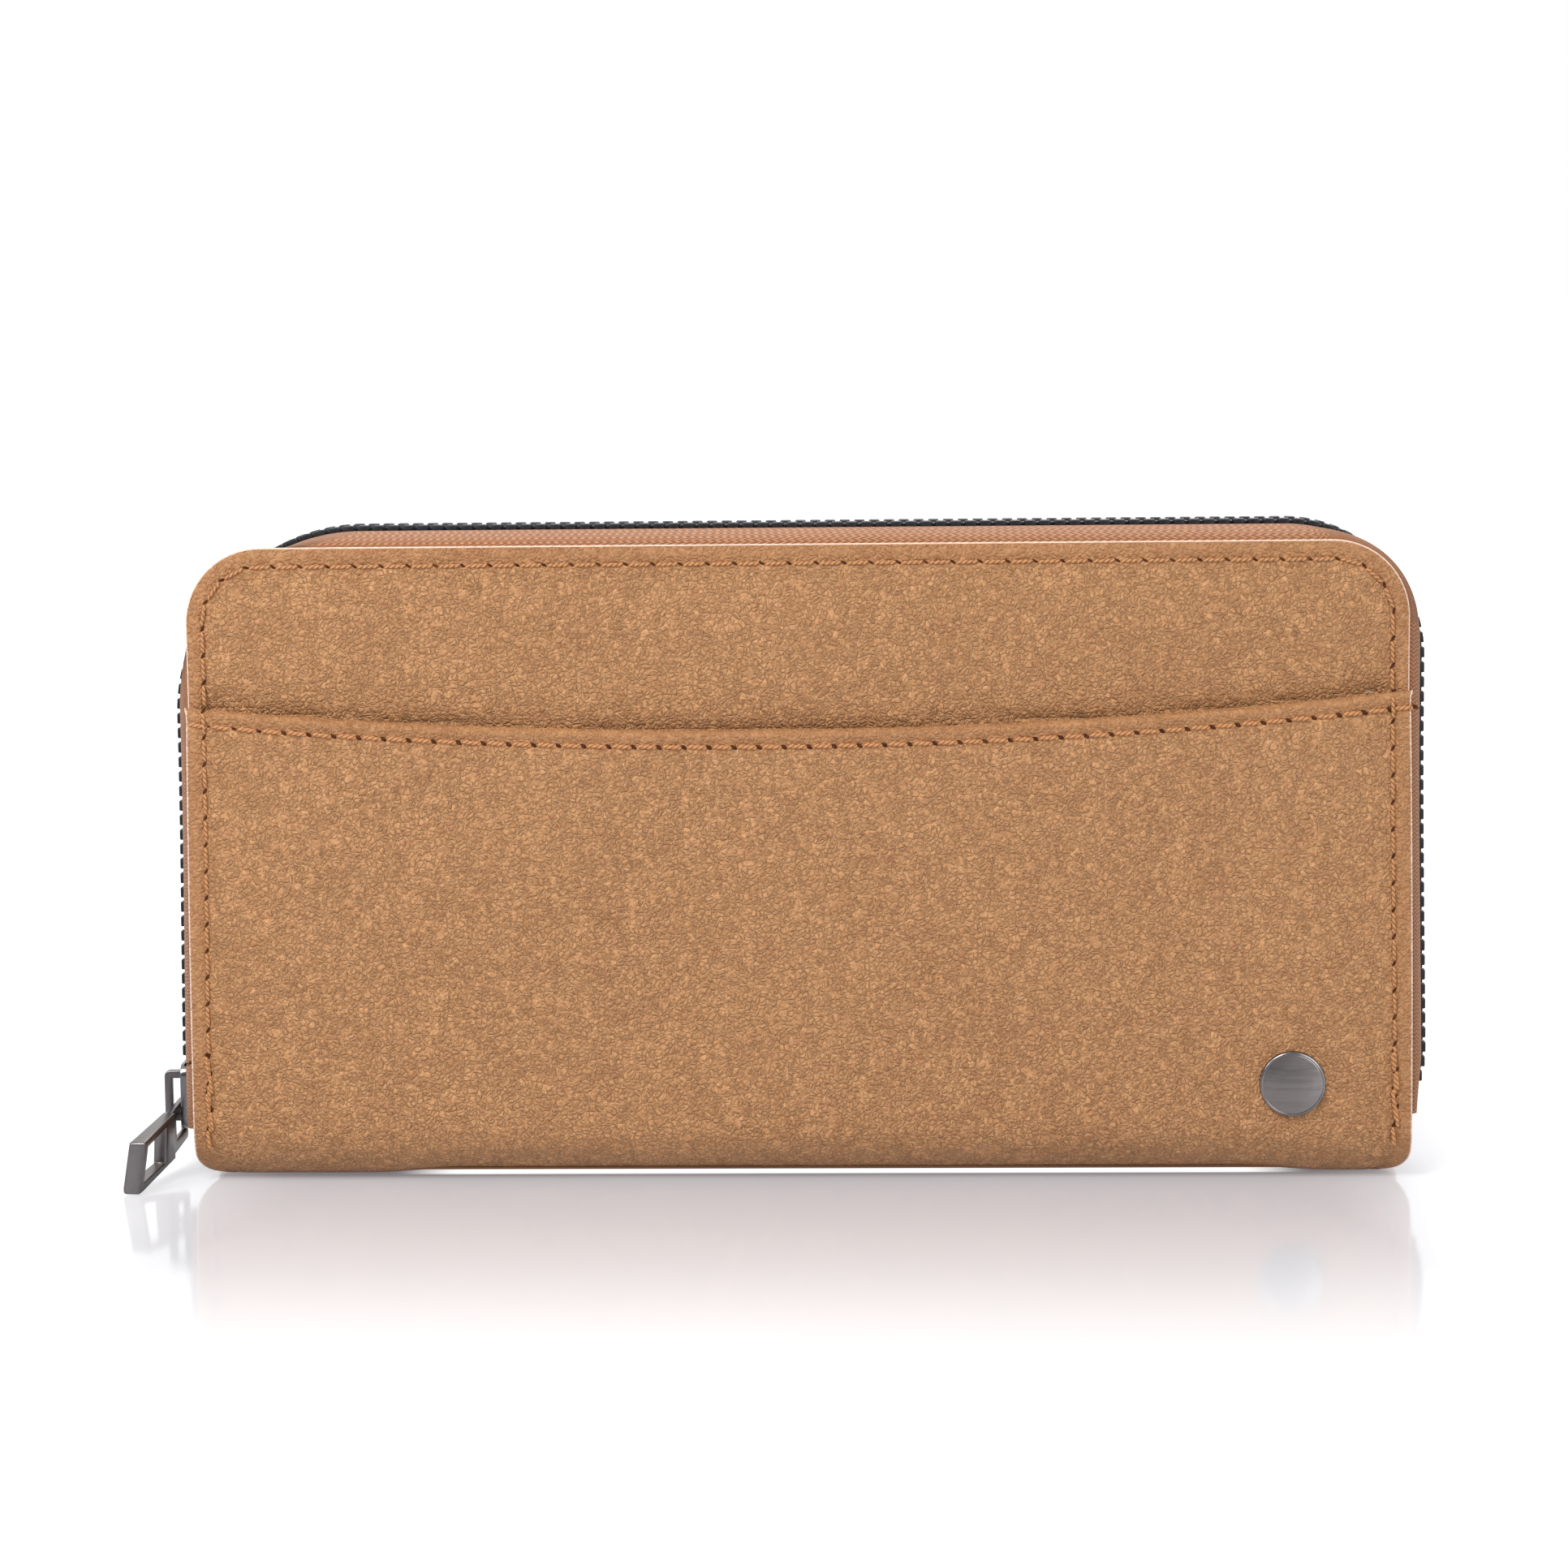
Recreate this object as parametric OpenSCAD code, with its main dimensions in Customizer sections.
// Zip around wallet, standing on its spine.
// Row frame: +X to the right, -Y towards the front, +Z up,
// with the origin at the centre of the spine's resting face.
// Each piece is laid out flat: x across, y up the cover and z from the
// wallet's mid-plane towards the front. stand() then sets it upright.

/* [Covers] */
// Width of the leather covers
panel_w = 198.8; // [160:0.2:240]
// Height of the covers above the resting face
wallet_h = 105; // [92:0.5:130]
// Thickness of the closed wallet
wallet_t = 25; // [23:0.5:34]
// Radius of the upper corners
corner_r = 12.5; // [9:0.5:20]
// Radius of the lower corners, seen from the front
base_corner_r = 5; // [2:0.5:5.5]
// Radius of the spine's bends, seen from the side
spine_r = 5.5; // [3:0.5:6]
// Height of the line about which the covers open
hinge_h = 6.5; // [6.5:0.5:10]

/* [Leather and lining] */
// Thickness of the outer leather
leather_t = 1.2; // [0.8:0.1:1.6]
// Thickness of the stiffening boards
board_t = 0.6; // [0.4:0.1:0.8]
// Margin between the boards and the edge of the leather
board_inset = 6; // [5.5:0.5:12]
// Thickness of the lining
lining_t = 0.4; // [0.3:0.1:0.6]
// Margin between the lining and the edge of the leather
lining_inset = 1.5; // [1:0.5:3]

/* [Slip pocket] */
// How far the pocket stands out past the cover at each side
pocket_proud = 0.6; // [0:0.1:1.2]
// Height of the pocket's mouth at its two sides
pocket_h = 79; // [50:1:88]
// Depth of the curve in the pocket's mouth
pocket_sag = 5; // [1:0.5:10]
// Thickness of the pocket's leather
pocket_t = 1; // [0.6:0.1:1.4]
// Gap between the pocket and the cover behind it
pocket_gap = 0.4; // [0.3:0.1:1]
// Width of the pocket's sewn margin
pocket_seam = 3; // [2:0.5:6]

/* [Main zip] */
// Thickness of the zip tape
tape_t = 0.6; // [0.4:0.1:0.8]
// Width of tape that is sewn in behind the edge of the leather
tape_sewn = 5; // [3:0.5:5.5]
// Distance from the edge of the leather out to the tape's plane
zip_out = 2.4; // [2:0.1:5]
// Radius of the zip's upper corner on the slider's side
zip_left_r = 26; // [13:0.5:28]
// Radius of the zip's upper corner on the other side
zip_right_r = 19; // [13:0.5:28]
// Outer radius of the bend in the tape
tape_bend_r = 3; // [2:0.1:4]
// Distance from one tooth to the next on the same tape
tooth_pitch = 2.43; // [2:0.01:4]
// Size of a tooth along the zip
tooth_l = 1.3; // [0.8:0.05:1.6]
// Thickness of a tooth, across the tape's plane
tooth_t = 2.3; // [1.6:0.1:3]
// Distance from the zip's centre line to the tape's edge
tooth_reach = 2.9; // [2:0.1:4]
// Width of the slit between the two rows of teeth
zip_slit = 1; // [0.8:0.1:1.4]
// Height at which the tapes turn in under the spine
tape_low = 7; // [6.5:0.5:12]

/* [Slider and pull tab] */
// Length of the slider
slider_l = 11; // [9:0.5:14]
// Thickness of each plate of the slider
slider_plate = 0.65; // [0.5:0.05:1.2]
// Width of the slider's side flanges
slider_flange = 1.1; // [0.8:0.1:2]
// Clearance between the slider and the teeth
slider_play = 0.15; // [0.1:0.05:0.3]
// Height of the gap under the slider's bridge
bridge_gap = 2; // [1.8:0.1:3]
// Thickness of the bridge
bridge_t = 1.3; // [1:0.1:2]
// Width of the bridge
bridge_w = 1.6; // [1:0.1:2]
// Length of the bridge
bridge_l = 8.6; // [8:0.1:9.5]
// Length of the pull tab from the bridge's leg to the tip
pull_reach = 20.2; // [16:0.2:28]
// Width of the pull tab at its tip
pull_tip_w = 9.3; // [8:0.1:11]
// Width of the pull tab at its inner end
pull_root_w = 7.4; // [7:0.1:9]
// Thickness of the pull tab
pull_t = 1.8; // [1.2:0.1:2.4]
// Thickness of the ring that hangs on the bridge
pull_ring_t = 0.9; // [0.6:0.1:1]
// Turn of the pull tab away from the wallet's side
pull_yaw = 8; // [0:1:8]

/* [Badge] */
// Diameter of the badge
badge_d = 10.4; // [6:0.2:16]
// Height of the badge above the leather
badge_t = 1.2; // [0.6:0.1:2]
// Distance of the badge's centre from the wallet's middle
badge_x = 80.7; // [-90:0.1:90]
// Height of the badge's centre
badge_y = 16.9; // [14:0.1:60]
// Diameter of the badge's rivet
rivet_d = 3; // [2:0.1:5]

/* [Card slots] */
// Number of card slots on each side
slot_count = 4; // [4]
// Width of the card slots, two cards side by side
slot_w = 180; // [176:1:181]
// Thickness of each card slot's leather
slot_t = 0.45; // [0.3:0.05:0.6]
// Height of the upper edge of the highest slot
slot_top = 80; // [60:1:88]
// Step down from each slot to the next
slot_step = 9; // [6:1:12]
// Height of the slots' sewn lower edge
slot_low = 14; // [10:1:20]

/* [Coin pocket] */
// Width of the coin pocket
coin_w = 188; // [182:1:189]
// Height of the top of the coin pocket
coin_top = 84; // [60:1:88]
// Height of the bottom of the coin pocket
coin_low = 4.2; // [4.2:0.1:8]
// Thickness of each wall of the coin pocket
coin_wall = 0.6; // [0.4:0.1:0.8]
// Space between the walls of the coin pocket
coin_space = 4.6; // [4.2:0.1:6]
// Thickness of the coin zip's tape
coin_tape_t = 0.5; // [0.4:0.1:0.6]
// Size of the coin zip's teeth, across the pocket
coin_tooth = 1.3; // [1:0.1:1.4]
// Width of the slit between the coin zip's rows of teeth
coin_slit = 0.6; // [0.4:0.1:0.8]
// Distance from one coin zip tooth to the next
coin_pitch = 2.5; // [2:0.1:4]
// Length of the coin zip's slider
coin_slider_l = 7; // [6:0.5:9]
// Distance of the coin zip's slider from the wallet's middle when closed
coin_slider_x = 78; // [60:1:82]
// Length of the coin zip's pull tab
coin_pull_l = 13; // [9:0.5:15]

/* [Gussets and thread] */
// Thickness of the side gussets
gusset_t = 0.4; // [0.3:0.1:0.6]
// Height of the top of the side gussets
gusset_top = 74; // [40:1:80]
// Distance of the stitches from the edge of the leather
stitch_inset = 2.8; // [2:0.1:5]
// Distance from one stitch to the next
stitch_pitch = 4.4; // [3:0.1:7]
// Length of a stitch
stitch_l = 3.2; // [2:0.1:5]
// Width of the thread
thread_w = 0.6; // [0.4:0.1:1]

/* [Hidden] */
$fn = 48;

leather = [0.72, 0.51, 0.33];
lining_colour = [0.55, 0.36, 0.22];
tape_colour = [0.70, 0.44, 0.30];
thread_colour = [0.85, 0.60, 0.38];
gunmetal = [0.38, 0.37, 0.38];
tooth_colour = [0.27, 0.28, 0.30];
board_colour = [0.75, 0.70, 0.60];

// Overlap that keeps a cut from leaving a skin
cut = 1;
// Clearance between soft pieces that move apart
soft_gap = 0.3;
// Width of a slanted layer along x, as a multiple of its thickness
slant = 1.6;

// Levels of the layers above the mid-plane, front then back
half_t = wallet_t / 2;
front_panel_z = half_t - pocket_t - pocket_gap;
front_in = front_panel_z - leather_t;
back_in = half_t - leather_t;
filler_t = max(board_t, tape_t);
front_cards_z = front_in - filler_t - lining_t;
back_cards_z = back_in - filler_t - lining_t;
front_clear = front_cards_z - slot_count * slot_t;
back_clear = back_cards_z - slot_count * slot_t;

// The zip's chain line, and the slider in its closed place on the left
zip_x = panel_w / 2 + zip_out;
slider_above = 0.4;
slider_low = tape_low + slider_above;
slider_top = slider_low + slider_l;
slider_corner_r = 2;
slider_half = tooth_t / 2 + slider_play + slider_plate;
channel_half = tooth_reach + 2 * slider_play;
slider_face = zip_x + slider_half;
front_tape_low = slider_top + 1;
neck_up = 0.6;
neck_l = 2.4;
neck_play = 0.2;
left_teeth_low = slider_low + neck_up + neck_l + tooth_l / 2;
right_teeth_low = tape_low + 6;

// Length of the chain in its corners and along the top
chain_left_arc = (zip_left_r + zip_out) * PI / 2;
chain_right_arc = (zip_right_r + zip_out) * PI / 2;
chain_top = panel_w - zip_left_r - zip_right_r;

// The bridge's lower leg carries the pull tab
bridge_up = 0.8;
bridge_low = slider_low + bridge_up;
bridge_corner_r = 1;
leg_x = slider_face + bridge_gap / 2;
leg_y = bridge_low + bridge_t / 2;
pull_hole_up = 1.25;
pull_hole_h = 4.1;
pull_hole_back = 1.3;
pull_hole_l = 5;
pull_rail = 1.5;
pull_end = 2.6;
pull_ring_l = 6;
pull_slot_l = 7.9;
pull_slot_w = 6.5;
pull_tip_bar = 1.9;
pull_mid = pull_hole_up + pull_rail - pull_root_w / 2;
pull_drop = pull_tip_w / 2 - pull_mid;
pull_clear = 0.1;
pull_corner_r = 1;
pull_pitch = asin((leg_y - pull_clear) / norm([pull_reach, pull_drop]))
    - atan2(pull_drop, pull_reach);

// The coin pocket hangs halfway between the two stacks of card slots
coin_z = (front_clear - back_clear) / 2;
coin_half = coin_space / 2 + coin_wall;
spine_floor = leather_t + lining_t;
hem_margin = 1;

// The coin zip's slider: two plates, a neck between the rows, and a bridge
coin_mid = coin_top + coin_tape_t / 2;
coin_teeth_margin = 6;
coin_play = 0.2;
coin_plate = 0.7;
coin_face = coin_mid + coin_tooth / 2 + coin_play + coin_plate;
coin_slider_w = 4;
coin_neck_l = 2;
coin_loop_l = 4.6;
coin_loop_w = 1;
coin_loop_t = 0.8;
coin_loop_gap = 1.2;
coin_bar_r = 0.4;
coin_pull_w = 4.4;
coin_hole_w = 2.4;
coin_hole_end = 3.6;

// The gussets fold in beside the card slots and end above the hinge line
gusset_clear = 0.5;
gusset_foot = 2;

// The curve of the slip pocket's mouth
pocket_w = panel_w + 2 * pocket_proud;
mouth_r = (pow(pocket_w / 2, 2) + pow(pocket_sag, 2)) / (2 * pocket_sag);
function mouth_y(x) =
    pocket_h - pocket_sag + mouth_r - sqrt(pow(mouth_r, 2) - x * x);

// Place along the chain, from the foot of its first corner, of a height on
// the left side and of a height on the right side
function left_place(y) = y - (wallet_h - zip_left_r);
function right_place(y) =
    chain_left_arc + chain_top + chain_right_arc + wallet_h - zip_right_r - y;

// Sets a flat piece upright: y up the cover becomes +Z, z becomes -Y
module stand() {
    rotate([90, 0, 0]) children();
}

module at_level(z, t) {
    translate([0, 0, z - t]) linear_extrude(t) children();
}

module left_and_right() {
    children();
    mirror([1, 0, 0]) children();
}

// What a round corner leaves out of a square one, with the corner at the
// origin and the material towards -x and -y
module corner_cut(r) {
    difference() {
        translate([-r, -r]) square(r + cut);
        translate([-r, -r]) circle(r);
    }
}

// Outline with square lower corners and round upper corners
module round_top(w, low, high, r) {
    difference() {
        translate([-w / 2, low]) square([w, high - low]);
        left_and_right() translate([w / 2, high]) corner_cut(r);
    }
}

module leather_outline() {
    round_top(panel_w, hinge_h, wallet_h, corner_r);
}

// Outline of a layer that lies inside the zip's tape
module inner_outline(inset) {
    r = max(zip_left_r, zip_right_r);
    round_top(panel_w - 2 * inset, hinge_h, wallet_h - inset, r - inset);
}

// Sweeps a profile (x outwards from the leather's edge, y up from the
// mid-plane) along the left side, the top and the right side
module around_cover(left_low, right_low) {
    mirror([1, 0, 0]) side_and_corner(left_low, zip_left_r) children();
    side_and_corner(right_low, zip_right_r) children();
    translate([zip_left_r - panel_w / 2, wallet_h, 0]) rotate([90, 0, 90])
        linear_extrude(chain_top) children();
}

module side_and_corner(low, r) {
    side_strip(low, wallet_h - r) children();
    translate([panel_w / 2 - r, wallet_h - r, 0])
        rotate_extrude(angle = 90) translate([r, 0]) children();
}

module side_strip(low, high) {
    translate([panel_w / 2, high, 0]) rotate([90, 0, 0])
        linear_extrude(high - low) children();
}

// Section of a zip tape: sewn flat behind the leather, then bent through a
// right angle to the chain line
module tape_profile(level) {
    bend_x = zip_out + tape_t / 2 - tape_bend_r;
    translate([-tape_sewn, level - tape_t]) square([tape_sewn + bend_x, tape_t]);
    translate([bend_x, level - tape_bend_r]) intersection() {
        difference() {
            circle(tape_bend_r);
            circle(tape_bend_r - tape_t);
        }
        square(tape_bend_r);
    }
    upright_profile(level - tape_bend_r);
}

module upright_profile(high) {
    translate([zip_out - tape_t / 2, tooth_reach])
        square([tape_t, high - tooth_reach]);
}

// One tooth, centred on the chain line, running in from the tape's edge
module tooth() {
    translate([zip_out - tooth_t / 2, -tooth_l / 2, zip_slit / 2])
        cube([tooth_t, tooth_l, tooth_reach - zip_slit / 2]);
}

// Sets a tooth, or anything laid out as one, at a place along the chain
module on_chain(place) {
    top = place - chain_left_arc;
    right = top - chain_top;
    down = right - chain_right_arc;
    if (place < 0)
        translate([-panel_w / 2, wallet_h - zip_left_r + place, 0])
            rotate(180) children();
    else if (top < 0)
        translate([zip_left_r - panel_w / 2, wallet_h - zip_left_r, 0])
            rotate(180 - 90 * place / chain_left_arc)
                translate([zip_left_r, 0, 0]) children();
    else if (right < 0)
        translate([zip_left_r - panel_w / 2 + top, wallet_h, 0])
            rotate(90) children();
    else if (down < 0)
        translate([panel_w / 2 - zip_right_r, wallet_h - zip_right_r, 0])
            rotate(90 - 90 * right / chain_right_arc)
                translate([zip_right_r, 0, 0]) children();
    else
        translate([panel_w / 2, wallet_h - zip_right_r - down, 0]) children();
}

// Teeth between two places along the chain
module teeth(from, to, phase) {
    for (i = [ceil((from - phase) / tooth_pitch) : floor((to - phase) / tooth_pitch)])
        on_chain(i * tooth_pitch + phase) tooth();
}

// One stitch, lying along x on a surface at z = 0
module stitch() {
    translate([-stitch_l / 2, -thread_w / 2, 0])
        cube([stitch_l, thread_w, thread_w / 2]);
}

// A row of stitches up each side from low to high
module side_stitches(low, high) {
    n = floor((high - low) / stitch_pitch);
    left_and_right() for (i = [0 : n - 1])
        translate([panel_w / 2 - stitch_inset, low + (i + 0.5) * (high - low) / n, 0])
            rotate(90) stitch();
}

// Stitches over the upper corners and along the top
module top_stitches() {
    run = panel_w - 2 * corner_r;
    n = floor(run / stitch_pitch);
    r = corner_r - stitch_inset;
    corner_n = ceil(r * PI / 2 / stitch_pitch);
    for (i = [0 : n - 1])
        translate([(i + 0.5) * run / n - run / 2, wallet_h - stitch_inset, 0])
            stitch();
    left_and_right() for (i = [0 : corner_n - 1])
        translate([panel_w / 2 - corner_r, wallet_h - corner_r, 0])
            rotate((i + 0.5) * 90 / corner_n)
                translate([r, 0, 0]) rotate(90) stitch();
}

// The spine seen from its end, with its bends at the bottom
module spine_section(r, half, high) {
    mirror([0, 1]) round_top(2 * half, -high, r - spine_r, r);
}

module spine() {
    color(leather) stand() intersection() {
        translate([-panel_w / 2, 0, 0]) rotate([0, 90, 0])
            linear_extrude(panel_w) difference() {
                spine_section(spine_r, half_t, hinge_h);
                spine_section(spine_r - leather_t, half_t - leather_t, hinge_h + cut);
            }
        translate([0, 0, -wallet_t]) linear_extrude(2 * wallet_t)
            mirror([0, 1]) round_top(panel_w, -hinge_h - cut, 0, base_corner_r);
    }
}

module spine_lining() {
    w = panel_w - 2 * base_corner_r;
    d = wallet_t - 2 * spine_r;
    color(lining_colour) stand()
        translate([-w / 2, leather_t, -d / 2]) cube([w, lining_t, d]);
}

module back_panel() {
    color(leather) stand() mirror([0, 0, 1])
        at_level(half_t, leather_t) leather_outline();
}

module back_board() {
    color(board_colour) stand() mirror([0, 0, 1])
        at_level(back_in, board_t) inner_outline(board_inset);
}

module back_lining() {
    color(lining_colour) stand() mirror([0, 0, 1])
        at_level(back_in - filler_t, lining_t) inner_outline(lining_inset);
}

// Card slot i, counted from 1 at the highest
module card_slot(i, level) {
    at_level(level - (i - 1) * slot_t, slot_t)
        translate([-slot_w / 2, slot_low])
            square([slot_w, slot_top - (i - 1) * slot_step - slot_low]);
}

module back_card_slot(i) {
    color(leather) stand() mirror([0, 0, 1]) card_slot(i, back_cards_z);
}

module back_stitching() {
    color(thread_colour) stand() mirror([0, 0, 1]) translate([0, 0, half_t]) {
        top_stitches();
        side_stitches(hinge_h, wallet_h - corner_r);
    }
}

module back_zip_tape() {
    color(tape_colour) stand() mirror([0, 0, 1])
        around_cover(tape_low, tape_low) tape_profile(back_in);
}

module back_zip_teeth() {
    color(tooth_colour) stand() mirror([0, 0, 1])
        teeth(left_place(left_teeth_low), right_place(right_teeth_low), tooth_pitch / 2);
}

// The tail of both tapes, turned in through the open end of the spine
module zip_tail() {
    tail_x = panel_w / 2 - base_corner_r + tape_t;
    low_z = tape_bend_r - back_in;
    translate([0, 0, low_z]) linear_extrude(front_in - tape_bend_r - low_z)
        polygon([
            [zip_x - tape_t / 2, tape_low], [zip_x + tape_t / 2, tape_low],
            [tail_x, spine_floor], [tail_x - slant * tape_t, spine_floor]
        ]);
}

module zip_tail_left() {
    color(tape_colour) stand() mirror([1, 0, 0]) zip_tail();
}

module zip_tail_right() {
    color(tape_colour) stand() zip_tail();
}

// Staple across the right-hand end of the chain, clamped to the back tape
module zip_bottom_stop() {
    color(gunmetal) stand()
        translate([zip_x - tooth_t / 2, right_teeth_low - tooth_pitch, -tooth_reach])
            cube([tooth_t, tooth_l, tooth_reach - zip_slit / 2]);
}

// The last stretch of the front half of the zip stays in the slider
module front_zip_end() {
    color(tape_colour) stand() {
        mirror([1, 0, 0]) side_strip(tape_low, front_tape_low - soft_gap)
            upright_profile(front_in - tape_bend_r);
        teeth(left_place(left_teeth_low), left_place(front_tape_low - tooth_l), 0);
    }
}

module front_panel() {
    color(leather) stand()
        at_level(front_panel_z, leather_t) leather_outline();
}

module pocket_outline() {
    difference() {
        translate([-pocket_w / 2, hinge_h]) square([pocket_w, pocket_h - hinge_h]);
        translate([0, pocket_h - pocket_sag + mouth_r]) circle(mouth_r, $fn = 720);
    }
}

module slip_pocket() {
    inner_w = panel_w - 2 * pocket_seam;
    color(leather) stand() difference() {
        at_level(half_t, pocket_t + pocket_gap) pocket_outline();
        translate([-inner_w / 2, hinge_h + pocket_seam, front_panel_z - cut])
            cube([inner_w, pocket_h, pocket_gap + cut]);
        rivet_hole();
    }
}

module rivet_hole() {
    translate([badge_x, badge_y, front_panel_z - cut])
        cylinder(d = rivet_d, h = pocket_t + pocket_gap + 2 * cut);
}

module front_board() {
    color(board_colour) stand()
        at_level(front_in, board_t) inner_outline(board_inset);
}

module front_lining() {
    color(lining_colour) stand()
        at_level(front_in - filler_t, lining_t) inner_outline(lining_inset);
}

module front_card_slot(i) {
    color(leather) stand() card_slot(i, front_cards_z);
}

module front_stitching() {
    color(thread_colour) stand() {
        translate([0, 0, front_panel_z]) {
            top_stitches();
            side_stitches(pocket_h, wallet_h - corner_r);
        }
        translate([0, 0, half_t]) side_stitches(hinge_h, pocket_h);
    }
}

// Stitches along the curved mouth of the slip pocket
module pocket_stitching() {
    run = pocket_w - 4 * stitch_inset;
    n = floor(run / stitch_pitch);
    color(thread_colour) stand() translate([0, 0, half_t])
        for (i = [0 : n - 1]) {
            x = (i + 0.5) * run / n - run / 2;
            translate([x, mouth_y(x) - stitch_inset, 0])
                rotate(asin(x / mouth_r)) stitch();
        }
}

module front_zip_tape() {
    color(tape_colour) stand()
        around_cover(front_tape_low, tape_low + soft_gap) tape_profile(front_in);
}

module front_zip_teeth() {
    color(tooth_colour) stand()
        teeth(left_place(front_tape_low + tooth_l), right_place(right_teeth_low), 0);
}

module badge_cap() {
    edge = badge_t / 3;
    color(gunmetal) stand() translate([badge_x, badge_y, half_t]) {
        cylinder(d = badge_d, h = badge_t - edge);
        translate([0, 0, badge_t - edge])
            cylinder(d1 = badge_d, d2 = badge_d - 2 * edge, h = edge);
    }
}

// Post through the pocket's leather, with its head in the pocket
module badge_rivet() {
    head_t = pocket_gap * 0.75;
    color(gunmetal) stand() translate([badge_x, badge_y, half_t - pocket_t - head_t]) {
        cylinder(d = rivet_d, h = pocket_t + head_t);
        cylinder(d = 2 * rivet_d, h = head_t);
    }
}

// Outline of the slider's plates: round at the corners
module slider_outline(r) {
    w = 2 * (channel_half + slider_flange);
    translate([-w / 2 + r, 0]) square([w - 2 * r, slider_l]);
    translate([-w / 2, r]) square([w, slider_l - 2 * r]);
    for (x = [r - w / 2, w / 2 - r], y = [r, slider_l - r])
        translate([x, y]) circle(r);
}

module slider_body() {
    neck_t = zip_slit - 2 * neck_play;
    slot = tape_t + 4 * slider_play;
    wide = 4 * channel_half;
    color(gunmetal) stand() translate([-zip_x, slider_low, 0]) {
        difference() {
            translate([-slider_half, 0, 0]) rotate([0, 90, 0])
                linear_extrude(2 * slider_half) slider_outline(slider_corner_r);
            translate([slider_plate - slider_half, -cut, -channel_half])
                cube([2 * (slider_half - slider_plate), slider_l + 2 * cut, 2 * channel_half]);
            translate([-slot / 2, -cut, -wide / 2])
                cube([slot, slider_l + 2 * cut, wide]);
        }
        translate([-slider_half, neck_up, -neck_t / 2])
            cube([2 * slider_half, neck_l, neck_t]);
    }
}

// Loop on the slider's outer plate
module slider_bridge() {
    r = bridge_corner_r;
    reach = bridge_gap + bridge_t;
    color(gunmetal) stand() translate([-slider_face, bridge_low, -bridge_w / 2])
        mirror([1, 0, 0]) linear_extrude(bridge_w) difference() {
            union() {
                square([reach - r, bridge_l]);
                translate([0, r]) square([reach, bridge_l - 2 * r]);
                for (y = [r, bridge_l - r])
                    translate([reach - r, y]) circle(r);
            }
            translate([-cut, bridge_t]) square([bridge_gap + cut, bridge_l - 2 * bridge_t]);
        }
}

// Outline of the pull tab: x towards the tip, y across it, with the
// bridge's leg at the origin
module pull_outline() {
    r = pull_corner_r;
    hull() {
        for (side = [-1, 1]) {
            translate([r - pull_end, pull_mid + side * (pull_root_w / 2 - r)]) circle(r);
            translate([pull_reach - r / 2, pull_mid + side * (pull_tip_w / 2 - r / 2)])
                circle(r / 2);
        }
    }
}

module pull_tab() {
    slot_x = pull_reach - pull_tip_bar - pull_slot_l;
    color(gunmetal) stand() translate([-leg_x, leg_y, 0])
        rotate([0, -pull_yaw, 0]) rotate([pull_pitch, 0, 0]) rotate([0, -90, 0])
            difference() {
                union() {
                    translate([0, 0, -pull_ring_t / 2])
                        linear_extrude(pull_ring_t) pull_outline();
                    translate([0, 0, -pull_t / 2]) linear_extrude(pull_t)
                        intersection() {
                            pull_outline();
                            translate([pull_ring_l, -pull_tip_w])
                                square([pull_reach, 2 * pull_tip_w]);
                        }
                }
                translate([-pull_hole_back, pull_hole_up - pull_hole_h, -pull_t])
                    cube([pull_hole_l, pull_hole_h, 2 * pull_t]);
                translate([slot_x, pull_mid - pull_slot_w / 2, -pull_t])
                    cube([pull_slot_l, pull_slot_w, 2 * pull_t]);
            }
}

// Half of the coin pocket: a wall with a rim at the sides and the bottom
module coin_half_shell() {
    difference() {
        translate([-coin_w / 2, coin_low, 0])
            cube([coin_w, coin_top - coin_low, coin_half]);
        translate([coin_wall - coin_w / 2, coin_low + coin_wall, -cut])
            cube([coin_w - 2 * coin_wall, coin_top, coin_space / 2 + cut]);
    }
}

module coin_frame() {
    stand() translate([0, 0, coin_z]) children();
}

module coin_pocket_front() {
    color(lining_colour) coin_frame() coin_half_shell();
}

module coin_pocket_back() {
    color(lining_colour) coin_frame() mirror([0, 0, 1]) coin_half_shell();
}

// Hem that sews the coin pocket to the spine's lining
module coin_pocket_hem() {
    low = spine_floor + soft_gap;
    w = panel_w - 2 * (base_corner_r + hem_margin);
    color(lining_colour) coin_frame()
        translate([-w / 2, low, -coin_wall / 2]) cube([w, coin_low - low, coin_wall]);
}

module coin_tape() {
    inner = coin_slit / 2 + coin_tooth;
    translate([-coin_w / 2, coin_top, inner])
        cube([coin_w, coin_tape_t, coin_half - inner]);
}

module coin_zip_tape_front() {
    color(tape_colour) coin_frame() coin_tape();
}

module coin_zip_tape_back() {
    color(tape_colour) coin_frame() mirror([0, 0, 1]) coin_tape();
}

module coin_teeth(phase) {
    run = coin_w - 2 * coin_teeth_margin;
    for (x = [phase - run / 2 : coin_pitch : run / 2])
        translate([x, coin_mid - coin_tooth / 2, coin_slit / 2])
            cube([coin_pitch / 2, coin_tooth, coin_tooth]);
}

module coin_zip_teeth_front() {
    color(tooth_colour) coin_frame() coin_teeth(0);
}

module coin_zip_teeth_back() {
    color(tooth_colour) coin_frame() mirror([0, 0, 1]) coin_teeth(coin_pitch / 2);
}

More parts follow.
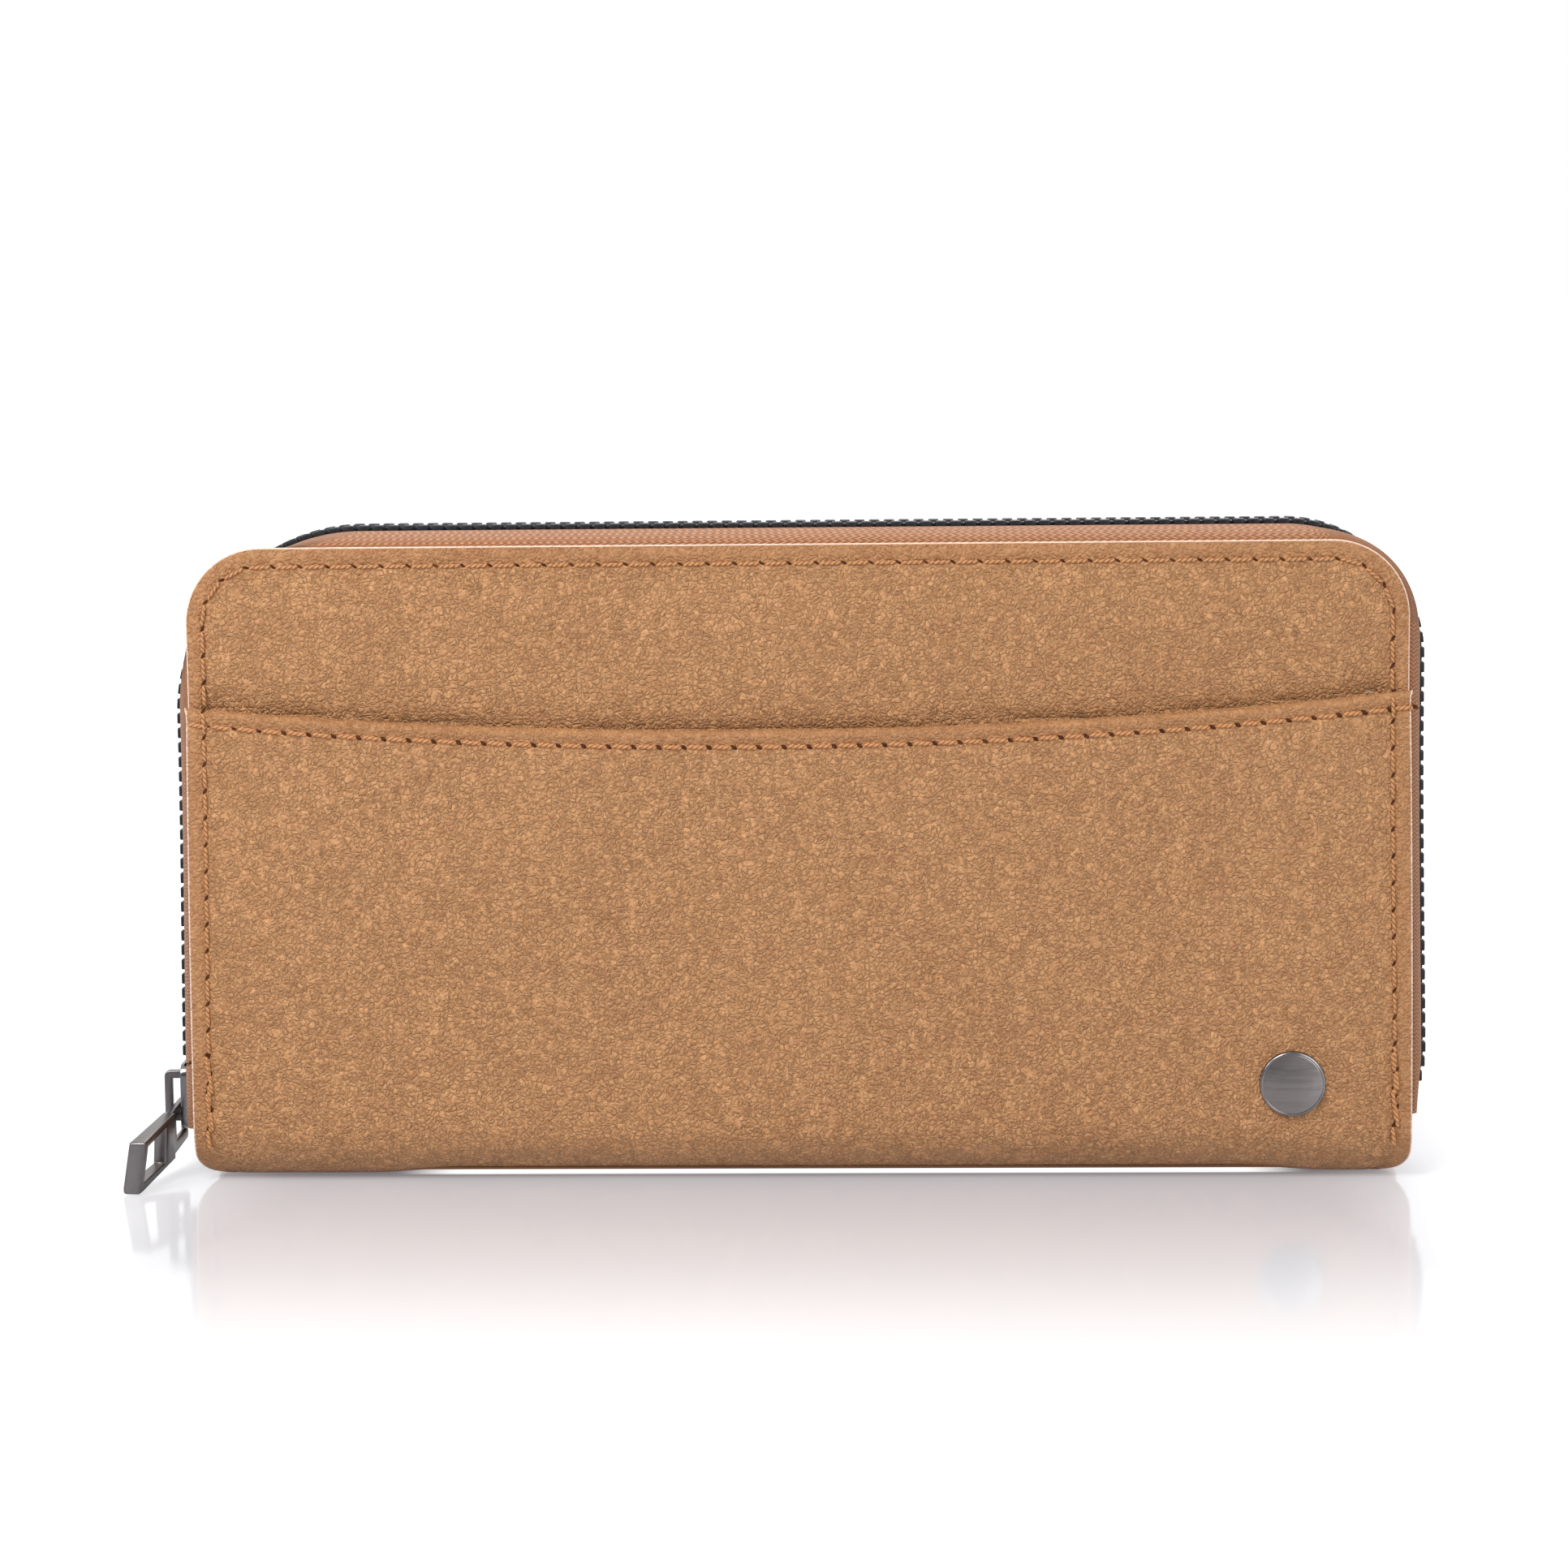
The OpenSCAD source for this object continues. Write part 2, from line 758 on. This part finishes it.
module coin_slider() {
    under = 2 * (coin_face - coin_mid);
    w = coin_slider_w;
    color(gunmetal) coin_frame() translate([-coin_slider_x, 0, 0]) {
        difference() {
            translate([-coin_slider_l / 2, coin_face - under, -w / 2])
                cube([coin_slider_l, under, w]);
            translate([-coin_slider_l, coin_face - under + coin_plate, -w])
                cube([2 * coin_slider_l, under - 2 * coin_plate, 2 * w]);
        }
        translate([-coin_neck_l / 2, coin_face - under, coin_play / 2 - coin_slit / 2])
            cube([coin_neck_l, under, coin_slit - coin_play]);
        translate([-coin_loop_l / 2, coin_face, -coin_loop_w / 2]) difference() {
            cube([coin_loop_l, coin_loop_gap + coin_loop_t, coin_loop_w]);
            translate([coin_loop_t, -cut, -cut])
                cube([coin_loop_l - 2 * coin_loop_t, coin_loop_gap + cut, coin_loop_w + 2 * cut]);
        }
    }
}

// The coin zip's pull tab, lying along the zip, hung on its own round bar
module coin_pull() {
    w = coin_pull_w;
    t = 2 * coin_bar_r;
    color(gunmetal) coin_frame()
        translate([-coin_slider_x, coin_face + coin_loop_gap / 2, 0]) {
            difference() {
                translate([0, -t / 2, -w / 2]) cube([coin_pull_l, t, w]);
                translate([-cut, -t, -coin_hole_w / 2])
                    cube([coin_hole_end + cut, 2 * t, coin_hole_w]);
            }
            translate([0, 0, -w / 2]) cylinder(r = coin_bar_r, h = w);
        }
}

// Folded gusset between the coin pocket and a cover's lining; near and far
// are the levels of the two
module gusset(near, far) {
    edge = coin_w / 2;
    fold = slot_w / 2 + gusset_clear;
    mid = (near + far) / 2;
    low = hinge_h + gusset_foot;
    translate([0, low, 0]) rotate([-90, 0, 0]) mirror([0, 1, 0])
        linear_extrude(gusset_top - low) polygon([
            [edge, near], [fold, mid], [edge, far],
            [edge, far - slant * gusset_t], [fold + 2 * gusset_t, mid],
            [edge, near + slant * gusset_t]
        ]);
}

module front_gusset() {
    gusset(coin_z + coin_half + soft_gap / 2, front_cards_z - soft_gap);
}

module back_gusset() {
    mirror([0, 0, 1])
        gusset(coin_half - coin_z + soft_gap / 2, back_cards_z - soft_gap);
}

module gusset_front_left() {
    color(lining_colour) stand() mirror([1, 0, 0]) front_gusset();
}

module gusset_front_right() {
    color(lining_colour) stand() front_gusset();
}

module gusset_back_left() {
    color(lining_colour) stand() mirror([1, 0, 0]) back_gusset();
}

module gusset_back_right() {
    color(lining_colour) stand() back_gusset();
}

spine();
spine_lining();
back_panel();
back_board();
back_lining();
back_card_slot(1);  // back_card_slot_1
back_card_slot(2);  // back_card_slot_2
back_card_slot(3);  // back_card_slot_3
back_card_slot(4);  // back_card_slot_4
back_stitching();
back_zip_tape();
back_zip_teeth();
zip_tail_left();
zip_tail_right();
zip_bottom_stop();
front_zip_end();
front_panel();
slip_pocket();
front_board();
front_lining();
front_card_slot(1);  // front_card_slot_1
front_card_slot(2);  // front_card_slot_2
front_card_slot(3);  // front_card_slot_3
front_card_slot(4);  // front_card_slot_4
front_stitching();
pocket_stitching();
front_zip_tape();
front_zip_teeth();
badge_cap();
badge_rivet();
slider_body();
slider_bridge();
pull_tab();
coin_pocket_front();
coin_pocket_back();
coin_pocket_hem();
coin_zip_tape_front();
coin_zip_tape_back();
coin_zip_teeth_front();
coin_zip_teeth_back();
coin_slider();
coin_pull();
gusset_front_left();
gusset_front_right();
gusset_back_left();
gusset_back_right();
